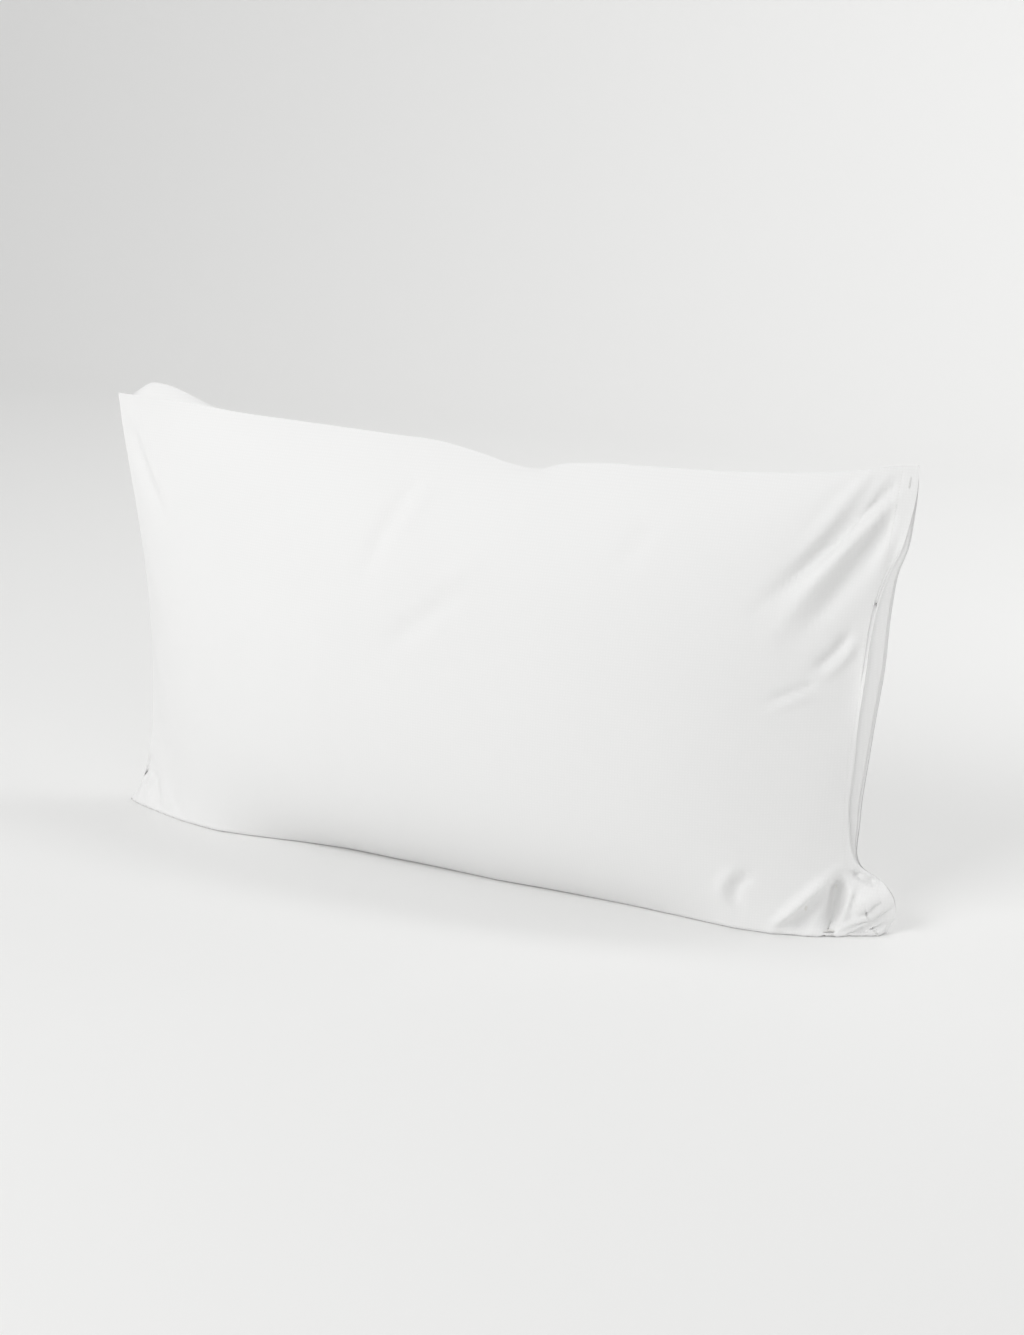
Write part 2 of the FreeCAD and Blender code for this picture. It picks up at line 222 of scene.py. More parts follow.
# These outlines were read off the photo, turned into metres through the fitted camera,
# and partly adjusted. Where the seams and the mouth's edges run: places along
# the length and heights, on the middle plane, which leans back.
TOP_SEAM = (
    (-0.447, 0.461), (-0.36, 0.458), (-0.30, 0.453), (-0.22, 0.450), (-0.11, 0.446),
    (-0.06, 0.444), (-0.015, 0.436), (0.02, 0.428), (0.05, 0.426), (0.075, 0.433),
    (0.11, 0.4375), (0.19, 0.440), (0.30, 0.446), (0.38, 0.456), (0.41, 0.463),
    (0.434, 0.466),
)
END_SEAM = (
    (-0.438, 0.001), (-0.425, 0.019), (-0.412, 0.062), (-0.407, 0.121), (-0.408, 0.19),
    (-0.413, 0.257), (-0.421, 0.312), (-0.433, 0.377), (-0.443, 0.431), (-0.447, 0.461),
)
MOUTH_EDGE = (
    # place along, height, half the gape
    (0.437, 0.002, 0.000), (0.445, 0.020, 0.000), (0.442, 0.038, 0.001),
    (0.428, 0.054, 0.001), (0.406, 0.066, 0.002), (0.397, 0.112, 0.008),
    (0.397, 0.173, 0.013), (0.397, 0.218, 0.018), (0.400, 0.265, 0.020),
    (0.403, 0.310, 0.018), (0.407, 0.334, 0.015), (0.414, 0.359, 0.010),
    (0.426, 0.389, 0.006), (0.431, 0.414, 0.003), (0.434, 0.438, 0.001),
    (0.434, 0.466, 0.000),
)
# How far each mouth edge stands out along the length, and across, in half gapes.
MOUTH_SHIFT = {-1: (0.435, 1.0), 1: (0.75, 0.35)}
FRONT_DRAWN_IN = 0.006
# How far from the seam the cloth lies flat on the floor, by place along.
BASE_EDGE = (
    (-0.439, 0.002), (-0.403, 0.014), (-0.354, 0.030), (-0.302, 0.040), (-0.250, 0.034),
    (-0.194, 0.026), (-0.146, 0.023), (-0.084, 0.026), (-0.024, 0.029), (0.037, 0.034),
    (0.092, 0.033), (0.148, 0.034), (0.203, 0.037), (0.259, 0.042), (0.303, 0.047),
    (0.342, 0.043), (0.390, 0.030), (0.412, 0.016), (0.438, 0.003),
)


def on_middle(line):
    """Points (x, z) of the leaning middle plane, in space."""
    return [(x, z * LEAN, z) for x, z in line]


def mouth_line(side):
    """The back edge stands a little further out than the front one, which is drawn in."""
    out, across = MOUTH_SHIFT[side]
    drawn_in = 0 if side > 0 else FRONT_DRAWN_IN
    line = []
    for x, z, gape in MOUTH_EDGE:
        share = smoothstep(0.06, 0.12, z) * (1 - smoothstep(0.31, 0.47, z))
        line.append((x + out * gape - drawn_in * share, z * LEAN + side * across * gape, z))
    return line


class Outline:
    """Where the edges of the two panels are held."""

    def __init__(self, cells):
        along = np.linspace(0, 1, cells[0] + 1)
        up = np.linspace(0, 1, cells[1] + 1)
        bottom = [(END_SEAM[0][0], 0, 0), (0, 0, 0), (MOUTH_EDGE[0][0], 0, 0)]
        self.top = along_curve(on_middle(TOP_SEAM), along)
        self.bottom = along_curve(bottom, along)
        self.end = along_curve(on_middle(END_SEAM), up)
        self.mouths = {side: along_curve(mouth_line(side), up) for side in (-1, 1)}

    def hold(self, p, side, grip):
        for edge, target in (
            (np.s_[:, -1], self.top), (np.s_[:, 0], self.bottom),
            (np.s_[0, :], self.end), (np.s_[-1, :], self.mouths[side]),
        ):
            p[edge] += grip * (target - p[edge])


# ---------------------------------------------------------------- cloth solver

FULL_HALF_DEPTH = 0.100
EASE = 0.975  # the cloth's seams and weave take up this share of its flat size
DAMPING = 0.9
SAG = 0.02  # each step's fall under gravity, as a share of the fill's push
SLANT_STIFFNESS = 0.4
FIRST_CROWN = 0.02  # how far the two panels start from the middle plane
FIRST_CELLS = (58, 32)  # along and up; they are doubled after each pass but the last
PASSES = (
    # steps, the fill's push, how far a slack thread is straightened, bending
    (150, 0.5 * MM, 0.15, 0.02),
    (80, 0.3 * MM, 0.3, 0.008),
    (50, 0.12 * MM, 0.5, 0.006),
)
SWEEPS = 8
GRIP = 0.5  # how firmly the outline and the floor hold


def pull(a, b, rest, stiff, give):
    """Moves two sets of points towards their rest distance, less so if they are too near."""
    d = b - a
    length = np.sqrt(np.einsum("ijk,ijk->ij", d, d)) + 1e-9
    error = (length - rest) / length
    move = (0.5 * np.where(error > 0, stiff, give) * error)[..., None] * d
    a += move
    b -= move


def pull_along(p, rest, stiff, give):
    """Every neighbour pair along the first axis, alternate pairs first."""
    count = p.shape[0] - 1
    for start in (0, 1):
        stop = count - (count - start) % 2
        pull(p[start:stop:2], p[start + 1:stop + 1:2], rest, stiff, give)


def pull_across(p, rest, stiff, give):
    """Both diagonals of every cell."""
    count = p.shape[0] - 1
    for start in (0, 1):
        stop = count - (count - start) % 2
        a, b = p[start:stop:2], p[start + 1:stop + 1:2]
        pull(a[:, :-1], b[:, 1:], rest, stiff, give)
        pull(a[:, 1:], b[:, :-1], rest, stiff, give)


def unbend(p, amount):
    """Moves each point towards the middle of its neighbours, first one way, then the other."""
    p[1:-1] += amount * (0.5 * (p[2:] + p[:-2]) - p[1:-1])
    p[:, 1:-1] += amount * (0.5 * (p[:, 2:] + p[:, :-2]) - p[:, 1:-1])


class Case:
    """Two panels of cloth, sewn on three sides and open at the mouth."""

    def __init__(self, cells):
        self.set_grid(cells)
        u, v = self.u, self.v
        x = (u - 0.5) * LENGTH
        z = v * HEIGHT
        crown = FIRST_CROWN * np.sin(math.pi * u) * np.sin(math.pi * v)
        self.front = np.stack([x, z * LEAN - crown, z], axis=-1)
        self.back = np.stack([x, z * LEAN + crown, z], axis=-1)
        self.rest_motion()

    def set_grid(self, cells):
        self.cells = cells
        self.step = (CASE_FLAT[0] / cells[0], CASE_FLAT[1] / cells[1])
        self.u, self.v = np.meshgrid(
            np.linspace(0, 1, cells[0] + 1), np.linspace(0, 1, cells[1] + 1), indexing="ij"
        )
        place, reach = np.array(BASE_EDGE).T
        past = self.v * CASE_FLAT[1] - np.interp((self.u - 0.5) * LENGTH, place, reach)
        self.on_floor = 1 - smoothstep(-0.004, 0.008, past)

    def rest_motion(self):
        self.front_move = np.zeros_like(self.front)
        self.back_move = np.zeros_like(self.back)

    def refine(self):
        self.front, self.back = double(self.front), double(self.back)
        self.set_grid((self.cells[0] * 2, self.cells[1] * 2))
        self.rest_motion()

    def weld(self):
        for edge in (np.s_[:, 0], np.s_[:, -1], np.s_[0, :]):
            middle = 0.5 * (self.front[edge] + self.back[edge])
            self.front[edge] = middle
            self.back[edge] = middle


COARSE_CELL, FINE_CELL = 4.2 * MM, 1.9 * MM
FINE_NEAR_MOUTH, FINE_NEAR_FLOOR = 0.14, 0.07  # the stretches with fine cells


def warped(length, coarse, fine, fine_length, at_end):
    """Shares of a length, closer together over a stretch at one of its ends."""
    near = np.linspace(0, fine_length, int(round(fine_length / fine)) + 1)
    far = np.linspace(fine_length, length, int(round((length - fine_length) / coarse)) + 1)
    shares = np.concatenate([near, far[1:]]) / length
    return (1 - shares)[::-1] if at_end else shares


def remesh(case):
    """Finer cells where the cloth is crumpled: by the mouth and by the floor."""
    columns = warped(CASE_FLAT[0], COARSE_CELL, FINE_CELL, FINE_NEAR_MOUTH, at_end=True)
    rows = warped(CASE_FLAT[1], COARSE_CELL, FINE_CELL, FINE_NEAR_FLOOR, at_end=False)
    u, v = np.meshgrid(columns, rows, indexing="ij")
    case.front = sample(double(case.front), u, v)
    case.back = sample(double(case.back), u, v)
    case.u, case.v = u, v
    case.columns, case.rows = columns, rows


def fill_depth(u, v):
    """How far the fill stands out from the middle plane when nothing presses it."""
    along = 1 - np.abs(2 * u - 1) ** 2.6
    up = (1 - np.abs(2 * v**0.85 - 1) ** 2.3) ** 0.85
    depth = FULL_HALF_DEPTH * along * up
    slack_corner = 1 - 0.5 * bump(u, 1, 0.09) * bump(v, 1, 0.14)
    return depth * slack_corner


def push(p, side, u, v, strength, step):
    """The fill presses the cloth out, more where it is squeezed and near the floor."""
    wanted = fill_depth(u, v)
    depth = side * (p[..., 1] - p[..., 2] * LEAN)
    squeeze = np.clip((wanted - depth) / FULL_HALF_DEPTH * 5, -0.8, 1)
    weight = 0.3 * (1 - p[..., 2] / HEIGHT) * (wanted / FULL_HALF_DEPTH)
    out = normals(p, side) / (step[0] * step[1])
    force = (squeeze + weight)[..., None] * out
    return strength * force


def lay(p, side, v, flat):
    """Keeps the cloth beside the bottom seam flat on the floor."""
    p[..., 1] += flat * (side * v * CASE_FLAT[1] - p[..., 1])
    p[..., 2] *= 1 - flat


def solve(case, steps, strength, give, bending):
    """Steps the cloth: the fill presses it out, and its threads keep their length."""
    outline = Outline(case.cells)
    su, sv = (step * EASE for step in case.step)
    slant = math.hypot(su, sv)
    for _ in range(steps):
        for name, side in (("front", -1), ("back", 1)):
            p, move = getattr(case, name), getattr(case, name + "_move")
            start = p.copy()
            p += DAMPING * move + push(p, side, case.u, case.v, strength, case.step)
            p[..., 2] -= SAG * strength
            move[:] = -start
        for _ in range(SWEEPS):
            for p, side in ((case.front, -1), (case.back, 1)):
                pull_along(p, su, 1.0, give)
                pull_along(p.swapaxes(0, 1), sv, 1.0, give)
                pull_across(p, slant, SLANT_STIFFNESS, 0.5 * give)
                unbend(p, bending)
                outline.hold(p, side, GRIP)
                lay(p, side, case.v, GRIP * case.on_floor)
                np.maximum(p[..., 2], 0, out=p[..., 2])
            case.weld()
        case.front_move += case.front
        case.back_move += case.back


def simulate_case():
    case = Case(FIRST_CELLS)
    solve(case, *PASSES[0])
    case.refine()
    solve(case, *PASSES[1])
    case.refine()
    solve(case, *PASSES[2])
    return case


# ---------------------------------------------------------------- creases and folds

# Each fold: its line over the front (x, z), its half width, and its height (+ out).
FRONT_FOLDS = (
    # soft dents in the upper middle
    (((-0.067, 0.416), (-0.095, 0.355), (-0.104, 0.306)), 0.011, -0.0030),
    (((-0.052, 0.412), (-0.078, 0.358)), 0.010, 0.0018),
    (((0.005, 0.329), (-0.032, 0.290), (-0.080, 0.248)), 0.013, -0.0038),
    (((0.012, 0.347), (-0.018, 0.312), (-0.060, 0.276)), 0.012, 0.0020),
    (((0.189, 0.398), (0.158, 0.347)), 0.012, -0.0018),
    # tension folds that run down from the mouth's upper corner
    (((0.428, 0.458), (0.400, 0.430), (0.364, 0.392), (0.300, 0.325)), 0.0085, -0.0085),
    (((0.426, 0.448), (0.392, 0.405), (0.345, 0.345), (0.315, 0.300)), 0.0085, 0.0065),
    (((0.424, 0.436), (0.400, 0.395), (0.372, 0.348), (0.336, 0.292)), 0.0110, -0.0080),
    (((0.386, 0.305), (0.372, 0.285), (0.352, 0.266)), 0.0050, -0.0050),
    (((0.392, 0.296), (0.378, 0.276), (0.360, 0.257)), 0.0050, 0.0030),
    (((0.363, 0.256), (0.342, 0.248), (0.312, 0.234)), 0.0050, -0.0035),
    (((0.360, 0.247), (0.340, 0.239), (0.316, 0.227)), 0.0050, 0.0022),
    # the closed end
    (((-0.436, 0.440), (-0.412, 0.392), (-0.370, 0.330)), 0.0090, -0.0040),
    (((-0.424, 0.440), (-0.398, 0.395), (-0.360, 0.345)), 0.0110, 0.0030),
    (((-0.424, 0.030), (-0.405, 0.062)), 0.0060, -0.0030),
    (((-0.412, 0.016), (-0.392, 0.046)), 0.0060, -0.0025),
    # the crumpled lower corner by the mouth
    (((0.312, 0.062), (0.296, 0.042), (0.303, 0.024)), 0.0065, -0.0042),
    (((0.298, 0.070), (0.283, 0.044), (0.291, 0.020)), 0.0060, 0.0030),
    (((0.334, 0.006), (0.358, 0.034), (0.388, 0.064)), 0.0050, 0.0105),
    (((0.350, 0.004), (0.372, 0.030), (0.380, 0.044)), 0.0080, -0.0040),
    (((0.391, 0.056), (0.391, 0.034), (0.387, 0.000)), 0.0062, -0.0150),
    (((0.404, 0.052), (0.400, 0.034), (0.393, 0.006)), 0.0040, 0.0050),
    (((0.404, 0.030), (0.420, 0.030), (0.438, 0.026)), 0.0110, 0.0110),
    (((0.398, 0.062), (0.414, 0.055), (0.434, 0.050)), 0.0026, -0.0070),
    (((0.400, 0.003), (0.418, 0.006), (0.438, 0.010)), 0.0030, -0.0050),
)
LINE_POINTS = 28
CALM_ROUNDS = 140


def fold_height(x, z, line, width, height):
    """A fold's height over the points (x, z): round across its line, fading at its ends."""
    points = np.array(line)
    if len(points) == 2:
        points = np.array([points[0], points.mean(0), points[1]])
    shares = np.linspace(0, 1, LINE_POINTS)
    curve = along_curve(np.column_stack([points, np.zeros(len(points))]), shares)[:, :2]
    gap = (x[..., None] - curve[:, 0]) ** 2 + (z[..., None] - curve[:, 1]) ** 2
    share = shares[gap.argmin(-1)]
    fade = smoothstep(0, 0.25, share) * (1 - smoothstep(0.6, 1, share)) * 0.85 + 0.15
    return height * fade * np.exp(-gap.min(-1) / width**2)


def calm(case):
    """Irons out the small creases that the solver leaves beside the two ends."""
    u, v = case.u, case.v
    mouth = smoothstep(0.83, 0.90, u) * smoothstep(0.10, 0.18, v) * (1 - smoothstep(0.68, 0.85, v))
    end = 0.5 * (1 - smoothstep(0.05, 0.14, u)) * smoothstep(0.08, 0.18, v)
    share = np.maximum(mouth, end)[1:-1, 1:-1, None]
    for p in (case.front, case.back):
        for _ in range(CALM_ROUNDS):
            round_about = p[2:, 1:-1] + p[:-2, 1:-1] + p[1:-1, 2:] + p[1:-1, :-2]
            p[1:-1, 1:-1] += 0.9 * share * (0.25 * round_about - p[1:-1, 1:-1])


def fold_back(case):
    """The cloth behind the closed end's upper corner stands up past its seam."""
    peak, rise = -0.408, 0.026
    x = case.back[..., 0]
    reach = (1 - case.v) * CASE_FLAT[1]
    wide = np.where(x < peak, 0.024, 0.072)
    height = rise * bump(x, peak, wide) * smoothstep(0, 0.012, reach)
    height *= 1 - smoothstep(0.014, 0.10, reach)
    case.back += height[..., None] * (0.0, 0.5, 1.0)


def fold_front(p, u, v):
    """Lifts the front panel by its folds, which fade beside the upper half of the hem."""
    height = sum(fold_height(p[..., 0], p[..., 2], *fold) for fold in FRONT_FOLDS)
    hem = 1 - smoothstep(0.004, 0.026, (1 - u) * CASE_FLAT[0])
    height *= 1 - hem * smoothstep(0.4, 0.6, v)
    p += height[..., None] * unit(normals(p, -1))
    np.maximum(p[..., 2], 0, out=p[..., 2])


# ---------------------------------------------------------------- meshes


def add_piece(name, verts, faces, material, body):
    mesh = bpy.data.meshes.new(name)
    mesh.from_pydata(np.asarray(verts).reshape(-1, 3).tolist(), [], np.asarray(faces).tolist())
    mesh.validate()
    mesh.shade_smooth()
    mesh.materials.append(material)
    piece = bpy.data.objects.new(name, mesh)
    bpy.context.collection.objects.link(piece)
    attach(piece, body)
    return piece


def close_up(piece):
    """Joins the points that lie on one another, and turns every face outwards."""
    bm = bmesh.new()
    bm.from_mesh(piece.data)
    bmesh.ops.remove_doubles(bm, verts=bm.verts, dist=0.01 * MM)
    bmesh.ops.recalc_face_normals(bm, faces=bm.faces)
    bm.to_mesh(piece.data)
    bm.free()


def grid_faces(rows, columns, flip, closed=False):
    """Quads of a grid of points; a closed grid joins its last row to its first."""
    index = np.arange(rows * columns).reshape(rows, columns)
    if closed:
        index = np.vstack([index, index[:1]])
    corners = [index[:-1, :-1], index[1:, :-1], index[1:, 1:], index[:-1, 1:]]
    faces = np.stack(corners, axis=-1).reshape(-1, 4)
    return faces[:, ::-1] if flip else faces


def panel(name, p, side, material, body):
    faces = grid_faces(*p.shape[:2], flip=side > 0)
    return add_piece(name, p, faces, material, body)


def on_case(case, p, u, v):
    """A panel's points at shares u of the case's length and v of its height."""
    i = np.interp(u, case.columns, np.linspace(0, 1, len(case.columns)))
    j = np.interp(v, case.rows, np.linspace(0, 1, len(case.rows)))
    return sample(p, i, j)


def tube(path, radii, sides, closed=False):
    """Points and faces of a round tube along a path, with a radius at each point."""
    path = np.asarray(path)
    ahead = unit(np.gradient(path, axis=0))
    if closed:
        ahead = unit(np.roll(path, -1, axis=0) - np.roll(path, 1, axis=0))
    across = unit(np.cross(ahead, (0.0, 1.0, 0.05)))
    over = np.cross(ahead, across)
    turn = np.linspace(0, 2 * math.pi, sides, endpoint=False)[:, None, None]
    ring = np.cos(turn) * across + np.sin(turn) * over
    points = path + np.asarray(radii)[:, None] * ring
    faces = grid_faces(sides, len(path), flip=False, closed=True)
    if closed:
        index = np.arange(sides * len(path)).reshape(sides, len(path))
        last, start = index[:, -1], index[:, 0]
        joins = [last, np.roll(last, -1), np.roll(start, -1), start]
        faces = np.vstack([faces, np.stack(joins, axis=-1)])
    return points, faces


def join(parts):
    """One set of points and faces from several."""
    verts, faces, first = [], [], 0
    for points, polygons in parts:
        points = np.asarray(points).reshape(-1, 3)
        verts.append(points)
        faces.append(np.asarray(polygons) + first)
        first += len(points)
    return np.vstack(verts), np.vstack(faces)


STITCH_SIDES = 6
MACHINE_STITCH = (2.9 * MM, 2.3 * MM, 0.16 * MM)  # pitch, length and radius
SEAM_STITCH = (2.9 * MM, 2.4 * MM, 0.2 * MM)
TICKING_STITCH = (3.2 * MM, 2.6 * MM, 0.2 * MM)
HAND_STITCH = (5.0 * MM, 3.6 * MM, 0.28 * MM)


def stitches(path, out, pitch, length, radius):
    """Separate stitches along a path: each dips into the cloth at both its ends."""
    path = np.asarray(path)
    span = np.concatenate([[0], np.cumsum(np.linalg.norm(np.diff(path, axis=0), axis=1))])
    starts = np.arange(0, span[-1] - length, pitch)
    shares = np.array([0.0, 0.12, 0.5, 0.88, 1.0])
    parts = []
    for start in starts:
        places = start + shares * length
        line = np.stack([np.interp(places, span, path[:, k]) for k in range(3)], axis=-1)
        lift = np.stack([np.interp(places, span, out[:, k]) for k in range(3)], axis=-1)
        line += unit(lift) * (radius * np.array([-1.2, 0.3, 0.7, 0.3, -1.2]))[:, None]
        parts.append(tube(line, radius * np.array([0.5, 0.9, 1, 0.9, 0.5]), STITCH_SIDES))
    return join(parts)


def sew(name, replaced, path, out, stitch, body, paint):
    """A piece of thread: stitches along a path, raised towards out."""
    verts, faces = stitches(path, out, *stitch)
    sewn = add_piece(name, verts, faces, paint["thread"], body)
    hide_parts(replaced)
    return sewn


def to_the_front(path):
    """The way out of the front, for each of a path's points."""
    return np.tile((0.0, -1.0, 0.0), (len(path), 1))


# ---------------------------------------------------------------- materials


def principled(name, colour, roughness, sheen):
    material = bpy.data.materials.new(name)
    material.use_nodes = True
    surface = material.node_tree.nodes["Principled BSDF"]
    surface.inputs["Base Color"].default_value = (*colour, 1)
    surface.inputs["Roughness"].default_value = roughness
    surface.inputs["Specular IOR Level"].default_value = 0.3
    surface.inputs["Sheen Weight"].default_value = sheen
    surface.inputs["Sheen Roughness"].default_value = 0.5
    return material, material.node_tree, surface


def node(tree, kind, **values):
    """A new node, with settings by name and input values by the input's name."""
    made = tree.nodes.new(kind)
    for name, value in values.items():
        if hasattr(made, name):
            setattr(made, name, value)
        else:
            made.inputs[name.replace("_", " ")].default_value = value
    return made


TINT = 0.012  # how far the cloth's whiteness goes up and down


def woven(name, colour, thread, roughness, sheen, rumple=0.25):
    """Plain-woven cloth: threads both ways, slubs, faint rumples, uneven whiteness and painted
    shade between the threads.
    """
    material, tree, surface = principled(name, colour, roughness, sheen)
    link = tree.links.new
    place = node(tree, "ShaderNodeTexCoord").outputs["Object"]
    turn = node(tree, "ShaderNodeMapping")
    turn.inputs["Scale"].default_value = (1, 0.35, 1)
    link(place, turn.inputs["Vector"])

    threads = []
    for direction in ("X", "Z"):
        wave = node(tree, "ShaderNodeTexWave", Scale=1 / (thread * 20), Distortion=1.2,
                    Detail=1.0, Detail_Scale=2.0)
        wave.wave_type = "BANDS"
        wave.bands_direction = direction
        link(turn.outputs["Vector"], wave.inputs["Vector"])
        threads.append(wave.outputs["Fac"])
    weave = node(tree, "ShaderNodeMath", operation="MULTIPLY")
    link(threads[0], weave.inputs[0])
    link(threads[1], weave.inputs[1])

    slubs = node(tree, "ShaderNodeTexNoise", Scale=420.0, Detail=3.0, Roughness=0.6)
    rumples = node(tree, "ShaderNodeTexNoise", Scale=38.0, Detail=4.0, Roughness=0.55)
    clouds = node(tree, "ShaderNodeTexNoise", Scale=9.0, Detail=3.0, Roughness=0.5)
    for texture in (slubs, rumples, clouds):
        link(place, texture.inputs["Vector"])

    normal = None
    for height, distance, strength in (
        (rumples.outputs["Fac"], rumple * MM, 0.55),
        (slubs.outputs["Fac"], 0.05 * MM, 0.35),
        (weave.outputs[0], 0.10 * thread, 0.35),
    ):
        relief = node(tree, "ShaderNodeBump", Strength=strength, Distance=distance)
        link(height, relief.inputs["Height"])
        if normal is not None:
            link(normal, relief.inputs["Normal"])
        normal = relief.outputs["Normal"]
    link(normal, surface.inputs["Normal"])

    shade = node(tree, "ShaderNodeMix", data_type="RGBA")
    shade.inputs[6].default_value = (*[c * (1 - TINT) for c in colour], 1)
    shade.inputs[7].default_value = (*[min(c * (1 + TINT), 1) for c in colour], 1)
    link(clouds.outputs["Fac"], shade.inputs[0])
    # Painted shade: the base colour is multiplied a little darker where the weave runs between
    # threads.
    weave_shade = node(tree, "ShaderNodeMix", data_type="RGBA", blend_type="MULTIPLY")
    weave_shade.inputs[0].default_value = 0.025
    link(shade.outputs[2], weave_shade.inputs[6])
    link(weave.outputs[0], weave_shade.inputs[7])
    link(weave_shade.outputs[2], surface.inputs["Base Color"])

    rough = node(tree, "ShaderNodeMapRange")
    rough.inputs["To Min"].default_value = roughness - 0.06
    rough.inputs["To Max"].default_value = roughness + 0.06
    link(slubs.outputs["Fac"], rough.inputs["Value"])
    link(rough.outputs["Result"], surface.inputs["Roughness"])
    return material


def relieve(tree, surface, pattern, strength, distance, colour, hollow):
    """A pattern's relief on a surface, with painted shade: its hollows a share darker."""
    place = node(tree, "ShaderNodeTexCoord").outputs["Object"]
    tree.links.new(place, pattern.inputs["Vector"])
    relief = node(tree, "ShaderNodeBump", Strength=strength, Distance=distance)
    tree.links.new(pattern.outputs["Fac"], relief.inputs["Height"])
    tree.links.new(relief.outputs["Normal"], surface.inputs["Normal"])
    shade = node(tree, "ShaderNodeMix", data_type="RGBA")
    shade.inputs[6].default_value = (*[c * hollow for c in colour], 1)
    shade.inputs[7].default_value = (*colour, 1)
    tree.links.new(pattern.outputs["Fac"], shade.inputs[0])
    tree.links.new(shade.outputs[2], surface.inputs["Base Color"])


def twisted(name, colour, ply):
    """Spun thread or cord: fine slanting plies."""
    material, tree, surface = principled(name, colour, 0.6, 0.2)
    wave = node(tree, "ShaderNodeTexWave", Scale=1 / (ply * 20), Distortion=0.6)
    wave.bands_direction = "DIAGONAL"
    # The grooves between the plies get painted shade, 7% darker.
    relieve(tree, surface, wave, 0.6, 0.1 * ply, colour, 0.93)
    return material


def fluffy(name, colour):
    """Loose fibre: soft clumps with shaded hollows between them."""
    material, tree, surface = principled(name, colour, 0.95, 0.5)
    clumps = node(tree, "ShaderNodeTexNoise", Scale=60.0, Detail=8.0, Roughness=0.7)
    relieve(tree, surface, clumps, 0.8, 2 * MM, colour, 0.8)
    return material


def make_materials():
    return {
        "cotton": woven("cotton", (0.87, 0.87, 0.866), 0.45 * MM, 0.82, 0.15),
        "hem": woven("hem", (0.87, 0.87, 0.866), 0.45 * MM, 0.82, 0.15, rumple=0.12),
        "ticking": woven("ticking", (0.83, 0.825, 0.80), 0.35 * MM, 0.78, 0.12, rumple=0.4),
        "thread": twisted("thread", (0.90, 0.90, 0.89), 0.3 * MM),
        "piping_core": twisted("piping_core", (0.84, 0.83, 0.79), 0.9 * MM),
        "label_tape": woven("label_tape", (0.90, 0.90, 0.895), 0.25 * MM, 0.5, 0.05, rumple=0.08),
        "fill": fluffy("fill", (0.91, 0.90, 0.87)),
    }


# ---------------------------------------------------------------- the case's pieces

HEM_WIDTH = 18 * MM
HEM_ROWS = 260
FLAP_LENGTH = 150 * MM
FLAP_ROWS = 200
# Its rows across the mouth, as shares of the way from the back edge to the front one.
FLAP_CROSSING = (0, 0.04, 0.08, 0.16, 0.28, 0.4, 0.5, 0.6, 0.72, 0.84, 0.93, 1)
LAYER = 0.5 * MM  # from one layer of cloth to the next
SEAM_INSET = 5 * MM
TACK_STITCHES, TACK_PITCH = 22, 0.45 * MM


def up_front(case, distance, up):
    """Points up the front panel at a distance from its mouth, and directions inwards,
    which are shorter where the two panels leave little room between them."""
    u = np.full_like(up, 1 - distance / CASE_FLAT[0])
    points = on_case(case, case.front, u, up)
    inward = -unit(on_case(case, unit(normals(case.front, -1)), u, up))
    between = np.linalg.norm(on_case(case, case.back, u, up) - points, axis=-1, keepdims=True)
    return points, inward * np.minimum(0.2 * between / MM, 1)


def make_mouth_hem(case, paint):
    """The front panel's edge, turned in: a flat fold with a round outer edge."""
    up = np.linspace(0.004, 0.996, HEM_ROWS)
    radius, proud = LAYER * 0.7, LAYER * 0.4
    turn = np.linspace(0, math.pi, 7)
    # Distances from the mouth's edge, and depths behind the front panel.
    rows = [(1.6 * MM, -proud)]
    rows += [(-radius * math.sin(t), radius * (1 - math.cos(t)) - proud) for t in turn]
    rows += [(d, 2 * radius - proud) for d in np.linspace(2 * MM, HEM_WIDTH, 7)]
    rows += [(HEM_WIDTH + 0.3 * MM, 1.4 * radius), (HEM_WIDTH - 1 * MM, LAYER)]
    edge, inward = up_front(case, 0.0, up)
    ahead, _ = up_front(case, 4 * MM, up)
    outward = unit(edge - ahead)
    sheets = []
    for distance, depth in rows:
        if distance < 0:
            sheets.append(edge - outward * distance + inward * depth)
        else:
            points, into = up_front(case, distance, up)
            sheets.append(points + into * depth)
    p = np.array(sheets)
    faces = grid_faces(*p.shape[:2], flip=False)
    hem = add_piece("mouth_hem", p, faces, paint["hem"], "case")
    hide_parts("case_mouth_hem")

    points, into = up_front(case, HEM_WIDTH - 2.5 * MM, up)
    line = points - into * 0.05 * MM
    sewn = sew("mouth_hem_stitches", "mouth_hem_thread", line, -into,
               MACHINE_STITCH, "case", paint)
    return [hem, sewn]


def make_flap(case, paint):
    """From the back panel's mouth edge, across the mouth, and in behind the front panel."""
    up = np.linspace(0.006, 0.994, FLAP_ROWS)
    start = on_case(case, case.back, np.ones_like(up), up)
    front, into = up_front(case, 1.0 * MM, up)
    end = front + into * 2.2 * MM
    rows = []
    for t in FLAP_CROSSING:
        dips = 0.8 * smoothstep(0, 0.04, t) + 2.6 * bump(t, 0.07, 0.05) + 4.5 * bump(t, 1, 0.12)
        row = start * (1 - t) + end * t
        row[:, 0] -= dips * MM
        rows.append(row)
    for distance in np.linspace(8 * MM, FLAP_LENGTH, 40):
        points, into = up_front(case, distance, up)
        rows.append(points + into * 1.9 * MM)
    p = np.array(rows)
    np.maximum(p[..., 2], 0.8 * MM, out=p[..., 2])
    faces = grid_faces(*p.shape[:2], flip=True)
    flap = add_piece("flap_cloth", p, faces, paint["hem"], "case")
    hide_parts("tuck_flap")

    points, into = up_front(case, FLAP_LENGTH - 8 * MM, up)
    line = points + into * 2.1 * MM
    line[:, 2] = np.maximum(line[:, 2], 1.2 * MM)
    sewn = sew("flap_hem_stitches", "flap_hem_thread", line, into,
               MACHINE_STITCH, "case", paint)
    return [flap, sewn]


